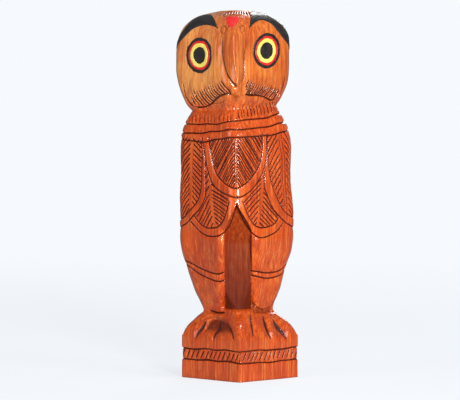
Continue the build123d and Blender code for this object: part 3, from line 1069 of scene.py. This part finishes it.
def new_mesh(name, points, tris, material):
    mesh = bpy.data.meshes.new(name)
    mesh.vertices.add(len(points))
    mesh.vertices.foreach_set("co", (points * MM).ravel())
    mesh.loops.add(len(tris) * 3)
    mesh.loops.foreach_set("vertex_index", tris.ravel().astype(np.int32))
    mesh.polygons.add(len(tris))
    mesh.polygons.foreach_set("loop_start", np.arange(0, len(tris) * 3, 3, dtype=np.int32))
    mesh.update(calc_edges=True)
    mesh.validate()
    mesh.shade_smooth()
    mesh.materials.append(material)
    piece = bpy.data.objects.new(name, mesh)
    bpy.context.scene.collection.objects.link(piece)
    return piece


# ---- materials ----------------------------------------------------------------------------
class Shader:
    """A small helper for writing a node tree line by line."""

    def __init__(self, name):
        self.material = bpy.data.materials.new(name)
        self.material.use_nodes = True
        self.tree = self.material.node_tree
        self.surface = self.tree.nodes["Principled BSDF"]

    def add(self, kind, inputs=(), out=0, **settings):
        node = self.tree.nodes.new(f"ShaderNode{kind}")
        for key, value in settings.items():
            setattr(node, key, value)
        for key, value in dict(inputs).items():
            self.feed(node.inputs[key], value)
        return node.outputs[out]

    def feed(self, socket, value):
        if isinstance(value, bpy.types.NodeSocket):
            self.tree.links.new(value, socket)
        else:
            socket.default_value = value

    def finish(self, **inputs):
        for key, value in inputs.items():
            self.feed(self.surface.inputs[key.replace("_", " ")], value)
        return self.material

    def maths(self, operation, *values):
        return self.add("Math", enumerate(values), operation=operation)

    def times(self, a, b):
        return self.maths("MULTIPLY", a, b)

    def plus(self, a, b):
        return self.maths("ADD", a, b)

    def vector(self, operation, *values, out=0):
        sockets = (0, 3) if operation == "SCALE" else (0, 1)
        return self.add("VectorMath", zip(sockets, values), out, operation=operation)

    def mix(self, factor, a, b, blend="MIX"):
        return self.add("Mix", {0: factor, 6: a, 7: b}, out=2, data_type="RGBA", blend_type=blend)

    def noise(self, vector, scale, detail=2.0, rough=0.5):
        return self.add("TexNoise", {"Vector": vector, "Scale": scale, "Detail": detail,
                                     "Roughness": rough})

    def ramp(self, value, low, high, out_low=0.0, out_high=1.0):
        return self.add("MapRange", {0: value, 1: low, 2: high, 3: out_low, 4: out_high},
                        interpolation_type="SMOOTHSTEP")


def rgb(red, green, blue):
    """A colour given as 0-255 screen values, as linear light."""
    return (*(((c / 255 + 0.055) / 1.055) ** 2.4 if c > 10 else c / 3294
              for c in (red, green, blue)), 1.0)


def stained_wood():
    sh = Shader("stained_wood")
    place = sh.add("TexCoord", out=3)
    upright = sh.add("Mapping", {"Vector": place, "Rotation": (0.16, -0.12, 0.3)})
    wander = sh.add("TexNoise", {"Vector": upright, "Scale": 14.0, "Detail": 2.0}, out=1)
    bent = sh.vector("SUBTRACT", wander, (0.5, 0.5, 0.5))
    bent = sh.vector("SCALE", bent, 0.02)
    bent = sh.vector("ADD", upright, bent)
    from_pith = sh.vector("ADD", bent, (0.075, 0.085, 0.0))
    flat = sh.vector("MULTIPLY", from_pith, (1.0, 1.0, 0.06))
    radius = sh.vector("LENGTH", flat, out=1)
    rings = sh.times(radius, 250.0)
    saw = sh.maths("FRACT", rings)
    late = sh.ramp(saw, 0.25, 0.92)
    late = sh.times(late, sh.ramp(saw, 1.0, 0.93))
    ring_size = sh.noise(sh.add("CombineXYZ", {0: sh.maths("FLOOR", rings)}), 3.7, 0.0)
    late = sh.times(late, sh.ramp(ring_size, 0.3, 0.7, 0.35, 1.0))
    sway = sh.vector("SCALE", wander, 0.007)
    grain = sh.vector("ADD", place, sway)
    fibre = sh.add("Mapping", {"Vector": grain, "Scale": (1.0, 1.0, 0.04)})
    streak = sh.noise(fibre, 700.0, 3.0, 0.65)
    broad = sh.noise(fibre, 110.0, 2.0, 0.55)
    short = sh.add("Mapping", {"Vector": grain, "Scale": (1.0, 1.0, 0.1)})
    fleck = sh.noise(short, 1600.0, 1.0, 0.5)
    pore = sh.times(sh.ramp(fleck, 0.56, 0.70), sh.ramp(broad, 0.3, 0.65, 0.25, 1.0))
    patches = sh.noise(upright, 26.0, 3.0, 0.55)
    stain_and_shade = sh.add("Attribute", out=2, attribute_name="stain_and_shade")
    recess_shade = sh.add("Attribute", out=2, attribute_name="dark")

    place_z = sh.add("SeparateXYZ", {0: place}, out=2)
    place_x = sh.add("SeparateXYZ", {0: place}, out=0)
    head = sh.ramp(sh.plus(place_z, sh.times(patches, 0.02)), 0.192, 0.216)
    # Painted light: the head is painted paler towards its -X side, which the lamps leave darker.
    head_left_lightening = sh.times(head, sh.ramp(place_x, -0.004, -0.022))
    pale = sh.mix(head, rgb(238, 100, 26), rgb(242, 142, 62))
    pale = sh.mix(head_left_lightening, pale, rgb(255, 190, 108))
    deep = sh.mix(head, rgb(210, 74, 16), rgb(216, 106, 34))
    deep = sh.mix(head_left_lightening, deep, rgb(252, 162, 82))
    colour = sh.mix(sh.ramp(broad, 0.3, 0.7), deep, pale)
    colour = sh.mix(sh.times(late, 0.45), colour, rgb(180, 62, 22))
    colour = sh.mix(sh.ramp(patches, 0.38, 0.66, 0.0, 0.6), colour, rgb(190, 68, 20))
    colour = sh.mix(sh.ramp(streak, 0.48, 0.66, 0.0, 0.55), colour, rgb(150, 52, 16))
    colour = sh.mix(sh.ramp(streak, 0.48, 0.34, 0.0, 0.32), colour, rgb(255, 166, 84))
    colour = sh.mix(sh.times(pore, 0.38), colour, rgb(112, 36, 10))
    low_down = sh.ramp(sh.plus(place_z, sh.times(patches, 0.03)), 0.095, 0.055)
    low_down = sh.times(low_down, sh.ramp(place_z, 0.022, 0.034))
    colour = sh.mix(sh.times(low_down, 0.6), colour, rgb(226, 214, 206), "MULTIPLY")
    # Painted shade inside the recess between the legs, from the "dark" attribute; it also takes
    # the gloss away there.
    colour = sh.mix(sh.times(recess_shade, 0.95), colour, rgb(88, 24, 6))
    # Dark stain gathered in the grooves, together with painted shade in the beak's hollows and
    # creases, over the -X foot's arch and under the +X leg's end.
    stain_and_shade_amount = sh.times(sh.ramp(stain_and_shade, 0.08, 0.75), sh.ramp(patches, 0.2, 0.7, 1.0, 0.88))
    colour = sh.mix(stain_and_shade_amount, colour, rgb(60, 14, 6))

    height = sh.times(streak, 0.3)
    height = sh.maths("SUBTRACT", height, sh.times(pore, 0.8))
    height = sh.plus(height, sh.times(sh.noise(place, 210.0, 3.0), 0.5))
    bump = sh.add("Bump", {"Strength": 0.35, "Distance": 0.0004, "Height": height})
    rough = sh.ramp(streak, 0.3, 0.8, 0.26, 0.40)
    rough = sh.plus(rough, sh.times(stain_and_shade_amount, 0.25))
    rough = sh.plus(rough, sh.times(recess_shade, 0.35))
    lacquer = sh.add("Bump", {"Strength": 0.12, "Distance": 0.0005,
                              "Height": sh.noise(place, 170.0, 2.0)})
    gloss = sh.times(sh.ramp(recess_shade, 0.0, 0.5, 0.85, 0.0),
                     sh.ramp(stain_and_shade_amount, 0.0, 1.0, 1.0, 0.35))
    return sh.finish(Base_Color=colour, Roughness=rough, Normal=bump, Specular_IOR_Level=0.15,
                     Coat_Weight=gloss, Coat_Roughness=0.1, Coat_Normal=lacquer)


def enamel(name, base, thin, roughness):
    """Brushed-on gloss paint: streaky, a little thin in places."""
    sh = Shader(name)
    place = sh.add("TexCoord", out=3)
    brush = sh.add("Mapping", {"Vector": place, "Rotation": (0.0, 0.5, 0.7),
                               "Scale": (1.0, 1.0, 0.3)})
    streak = sh.noise(brush, 900.0, 2.0, 0.6)
    cloud = sh.noise(place, 260.0, 2.0)
    colour = sh.mix(sh.ramp(cloud, 0.3, 0.75), base, thin)
    colour = sh.mix(sh.ramp(streak, 0.45, 0.8, 0.0, 0.45), colour, thin)
    height = sh.plus(streak, sh.times(cloud, 1.5))
    bump = sh.add("Bump", {"Strength": 0.4, "Distance": 0.0003, "Height": height})
    rough = sh.ramp(cloud, 0.3, 0.7, roughness, roughness + 0.14)
    return sh.finish(Base_Color=colour, Roughness=rough, Normal=bump, Coat_Weight=0.45,
                     Coat_Roughness=0.16)


WOOD = stained_wood()
ENAMELS = {
    "black_enamel": enamel("black_gloss", rgb(24, 21, 20), rgb(44, 38, 35), 0.34),
    "red_enamel": enamel("red_gloss", rgb(226, 18, 22), rgb(240, 44, 40), 0.36),
    "yellow_enamel": enamel("yellow_gloss", rgb(253, 230, 96), rgb(255, 240, 130), 0.38),
}


# ---- the carved wood ----------------------------------------------------------------------
def carve_wood():
    s, v, tris = refine(*first_grid(), rounds=3)
    s, v = snap(s, v, tris, 0.27)
    depth, ink, near, _, _ = look_all(s, v)
    points, stain_and_shade, _, gloom = shape(s, v, depth, ink, near)
    wood = new_mesh("carved_wood", points, tris, WOOD)
    # The first attribute holds the dark stain in the grooves with painted shade in the hollows,
    # along the beak's creases, over the -X foot's arch and under the +X leg's end; the second,
    # "dark", holds the painted shade in the recess between the legs.
    for name, values in (("stain_and_shade", stain_and_shade), ("dark", gloom)):
        layer = wood.data.attributes.new(name, "FLOAT", "POINT")
        layer.data.foreach_set("value", values.astype(np.float32))
    return wood


wood = carve_wood()
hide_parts("carved_body")
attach(wood, "root")


# ---- the paint ----------------------------------------------------------------------------
PAINT_THICK, PAINT_SUNK = 0.16, 0.22
PAINT_STEP, PAINT_FILL, LIP_OFFSETS = 0.55, 0.8, (0.1, 0.28)
FINISHES = {"brow": "black_enamel", "eye": "black_enamel", "pupil": "black_enamel",
            "iris": "yellow_enamel"}


def on_wood(u, v, lift):
    """Points on the carved surface at unrolled (u, v), raised by lift along the face."""
    s = u / block.side(v)
    depth, ink, near, _, _ = look_all(s, v)
    points = shape(s, v, np.minimum(depth, 0.35), ink, np.full(len(s), 9.0))[0]
    normal = block.place(s, v)[3]
    return points + normal * np.reshape(lift, (-1, 1))


def resample(loop, step):
    """Evenly spaced points round a loop, without the repeated last one."""
    loop = np.asarray(loop, float)
    if np.hypot(*(loop[0] - loop[-1])) > 1e-6:
        loop = np.vstack([loop, loop[:1]])
    at = distances(loop)
    grid = np.linspace(0, at[-1], max(8, int(at[-1] / step)), endpoint=False)
    return points_at(loop, at, grid)


def edge_distance(points, loops):
    """Distance from each point to the nearest loop."""
    best = np.full(len(points), 99.0)
    for loop in loops:
        a, b = loop, np.roll(loop, -1, axis=0)
        ab = b - a
        q = points[:, None] - a
        t = np.clip((q * ab).sum(2) / np.maximum((ab**2).sum(1), 1e-12), 0, 1)
        off = q - ab * t[..., None]
        best = np.minimum(best, np.hypot(off[..., 0], off[..., 1]).min(1))
    return best


def within(points, loops):
    """Which points lie inside the first loop and outside the others."""
    held = inside(points, loops[0])
    for hole in loops[1:]:
        held &= ~inside(points, hole)
    return held


def lip_rings(loops):
    """Points just inside the edges, where the paint's rounding needs them."""
    rings = []
    for k, loop in enumerate(loops):
        tangent = np.roll(loop, -1, axis=0) - np.roll(loop, 1, axis=0)
        tangent /= np.hypot(*tangent.T)[:, None]
        inward = np.stack([-tangent[:, 1], tangent[:, 0]], 1)
        kept_side = inside(loop + inward * 0.1, loop).mean() > 0.5
        if kept_side == (k > 0):
            inward = -inward
        for off in LIP_OFFSETS:
            ring = loop + inward * off
            rings.append(ring[edge_distance(ring, loops) > off * 0.8])
    return rings


def paint_sheet(outline):
    """A triangulated sheet over an outline: its points, triangles and distance to the edge."""
    loops = [resample(loop, PAINT_STEP) for loop in outline]
    low, high = loops[0].min(0), loops[0].max(0)
    u, v = np.meshgrid(np.arange(low[0], high[0], PAINT_FILL),
                       np.arange(low[1], high[1], PAINT_FILL))
    u[1::2] += PAINT_FILL / 2
    fill = np.stack([u.ravel(), v.ravel()], 1)
    fill = fill[within(fill, loops)]
    fill = fill[edge_distance(fill, loops) > 0.65]
    edges, start = [], 0
    for loop in loops:
        index = start + np.arange(len(loop))
        edges += list(zip(index.tolist(), np.roll(index, -1).tolist()))
        start += len(loop)
    points = np.vstack(loops + lip_rings(loops) + [fill])
    made = delaunay_2d_cdt([Vector(p) for p in points], edges, [], 0, 1e-4)
    points = np.array([tuple(p) for p in made[0]])
    tris = np.array(made[2])
    return points, tris[within(points[tris].mean(1), loops)], edge_distance(points, loops)


def side_walls(tris, count):
    """Triangles between a sheet's border and that of its copy, count points further on."""
    edges, _, shared = edges_of(tris)
    border = set(map(tuple, edges[shared == 1].tolist()))
    walls = []
    for t in tris.tolist():
        for a, b in zip(t, t[1:] + t[:1]):
            if (min(a, b), max(a, b)) in border:
                walls += [(a, count + b, b), (a, count + a, count + b)]
    return walls


def paint_skin(name, outline, seed):
    """A coat of paint with a rounded edge, its underside sunk just into the wood."""
    flat, tris, distance = paint_sheet(outline)
    swell = Ripple(seed, 3.5)(flat[:, 0], flat[:, 1]) * 0.025
    top = PAINT_THICK * np.sqrt(1 - (1 - np.clip(distance / 0.45, 0, 1)) ** 2) + 0.03
    top += swell * np.clip(distance / 0.4, 0, 1) + 0.04 * np.exp(-((distance - 0.5) / 0.35) ** 2)
    upper = on_wood(flat[:, 0], flat[:, 1], top)
    lower = on_wood(flat[:, 0], flat[:, 1], np.full(len(flat), -PAINT_SUNK))
    faces = np.vstack([tris, tris[:, ::-1] + len(flat), side_walls(tris, len(flat))])
    used, faces = np.unique(faces, return_inverse=True)
    finish = FINISHES.get(name.split("_")[0], "red_enamel")
    piece = new_mesh(name + "_coat", np.vstack([upper, lower])[used], faces.reshape(-1, 3),
                     ENAMELS[finish])
    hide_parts(name)
    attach(piece, "root")


for number, (name, outline) in enumerate(sorted(paint_outlines().items())):
    paint_skin(name, outline, 70 + number)


# ---- the studio ---------------------------------------------------------------------------
low, high = (np.array(corner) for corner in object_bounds())
PAPER = rgb(246, 250, 254)


def floor():
    """A pale disc under the figure that fades into the surroundings at its rim. Like them, it
    lights the figure more weakly than it shows."""
    turn = np.linspace(0, 2 * np.pi, 97)[:-1]
    points = [(0.0, 0.0, low[2])]
    points += [(1.5 * math.cos(a), 1.5 * math.sin(a), low[2]) for a in turn]
    mesh = bpy.data.meshes.new("floor")
    mesh.from_pydata(points, [], [(0, 1 + k, 1 + (k + 1) % 96) for k in range(96)])
    sh = Shader("paper")
    radius = sh.vector("LENGTH", sh.add("TexCoord", out=3), out=1)
    cloud = sh.noise(sh.add("TexCoord", out=3), 2.0)
    seen = sh.add("LightPath", out=0)
    strength = sh.plus(sh.times(seen, 0.59), 0.16)
    colour = sh.mix(cloud, rgb(134, 137, 140), rgb(140, 143, 146))
    mesh.materials.append(sh.finish(Base_Color=colour, Roughness=0.9, Specular_IOR_Level=0.0,
                                    Emission_Color=PAPER, Emission_Strength=strength,
                                    Alpha=sh.ramp(radius, 0.35, 1.4, 1.0, 0.0)))
    disc = bpy.data.objects.new("floor", mesh)
    bpy.context.scene.collection.objects.link(disc)
    disc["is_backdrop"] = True


def lamp(name, at, aim, size, power, colour=(1, 1, 1)):
    data = bpy.data.lights.new(name, "AREA")
    data.shape = "RECTANGLE"
    data.size, data.size_y = size
    data.energy = power
    data.color = colour
    light = bpy.data.objects.new(name, data)
    light.location = at
    light.rotation_euler = (Vector(aim) - Vector(at)).to_track_quat("-Z", "Y").to_euler()
    bpy.context.scene.collection.objects.link(light)


def surroundings():
    """An even pale backdrop that lights the figure more weakly than it shows."""
    world = bpy.data.worlds.new("room")
    world.use_nodes = True
    tree = world.node_tree
    seen = tree.nodes["Background"]
    seen.inputs["Color"].default_value = PAPER
    glow = tree.nodes.new("ShaderNodeBackground")
    glow.inputs["Color"].default_value = rgb(240, 244, 250)
    glow.inputs["Strength"].default_value = 0.21
    path, mix = tree.nodes.new("ShaderNodeLightPath"), tree.nodes.new("ShaderNodeMixShader")
    tree.links.new(path.outputs["Is Camera Ray"], mix.inputs[0])
    tree.links.new(glow.outputs[0], mix.inputs[1])
    tree.links.new(seen.outputs[0], mix.inputs[2])
    tree.links.new(mix.outputs[0], tree.nodes["World Output"].inputs[0])
    bpy.context.scene.world = world


floor()
surroundings()
middle_of_owl = (0.0, 0.0, (low[2] + high[2]) / 2)
lamp("front", (0.45, -1.9, 0.40), middle_of_owl, (0.26, 0.8), 37, (1.0, 0.98, 0.95))
lamp("key", (1.3, -1.2, 0.7), middle_of_owl, (0.4, 0.8), 7)
lamp("fill", (-1.6, -1.2, 0.5), middle_of_owl, (0.8, 1.0), 7)
lamp("top", (0.1, -0.2, 1.9), middle_of_owl, (0.45, 0.35), 9)
lamp("back", (0.6, 1.9, 1.1), middle_of_owl, (0.9, 0.9), 12)

DISTANCE = 2.7
ELEVATION = math.radians(3.0)
AIM = Vector((-0.0069, 0.0, 0.1231))
SPAN = 460 * 0.6927 * MM
camera_data = bpy.data.cameras.new("camera")
camera_data.sensor_width = 36.0
camera_data.lens = 36.0 * DISTANCE / SPAN
camera = bpy.data.objects.new("camera", camera_data)
camera.location = AIM + DISTANCE * Vector((0.0, -math.cos(ELEVATION), math.sin(ELEVATION)))
camera.rotation_euler = (AIM - camera.location).to_track_quat("-Z", "Y").to_euler()
bpy.context.scene.collection.objects.link(camera)
bpy.context.scene.camera = camera
bpy.context.scene.view_settings.view_transform = "Standard"
